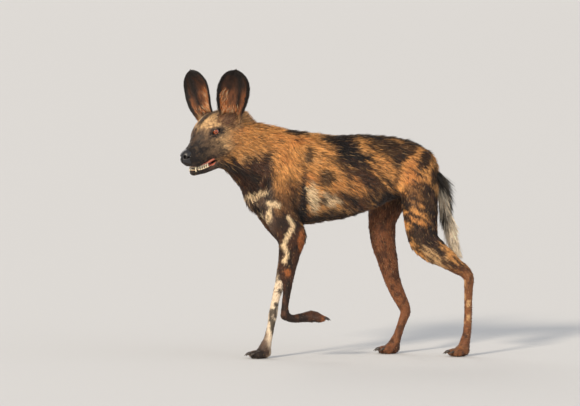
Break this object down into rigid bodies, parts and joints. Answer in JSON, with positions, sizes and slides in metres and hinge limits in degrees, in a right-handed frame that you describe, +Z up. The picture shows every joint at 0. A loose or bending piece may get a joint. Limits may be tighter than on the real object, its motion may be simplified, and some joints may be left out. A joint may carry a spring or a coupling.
{
  "type": "african wild dog",
  "caption": "Still, life-size wild dog stepping forward with its left foreleg raised, head turned aside and mouth a little open.",
  "frame": {"origin": "middle of the bounding box in plan, on the floor that the paws stand on", "axes": "+Z up, -X the way the dog walks and looks, -Y its left side"},
  "size_m": [0.9064, 0.2208, 0.8644],
  "materials": {
    "torso_coat": "short coarse coat, golden with black blotches",
    "neck_coat": "golden coat with a shaggy dark throat",
    "head_coat": "short hair, tan forehead and black muzzle",
    "jaw_coat": "short black hair",
    "tongue": "moist pink skin",
    "nose_leather": "bare black pebbled skin",
    "ear_coat": "dark short hair with a black rim",
    "eye": "clear wet eye with an amber iris",
    "leg_coat": "short dark brown hair with a pale zigzag",
    "foot_coat": "short dark hair, dark claws",
    "hind_coat": "golden hair streaked with black",
    "tail_coat": "dark hair",
    "brush_coat": "long loose white hair"
  },
  "bodies": {
    "root": {"torso": "torso_coat", "neck": "neck_coat", "head": "head_coat", "lower_jaw": "jaw_coat", "tongue": "tongue", "nose": "nose_leather", "ear_left": "ear_coat", "ear_right": "ear_coat", "eye_left": "eye", "eye_right": "eye", "foreleg_left": "leg_coat", "forefoot_left": "foot_coat", "foreleg_right": "leg_coat", "forefoot_right": "foot_coat", "hindleg_left": "hind_coat", "hindfoot_left": "foot_coat", "hindleg_right": "hind_coat", "hindfoot_right": "foot_coat", "tail": "tail_coat", "tail_brush": "brush_coat"}
  },
  "joints": []
}
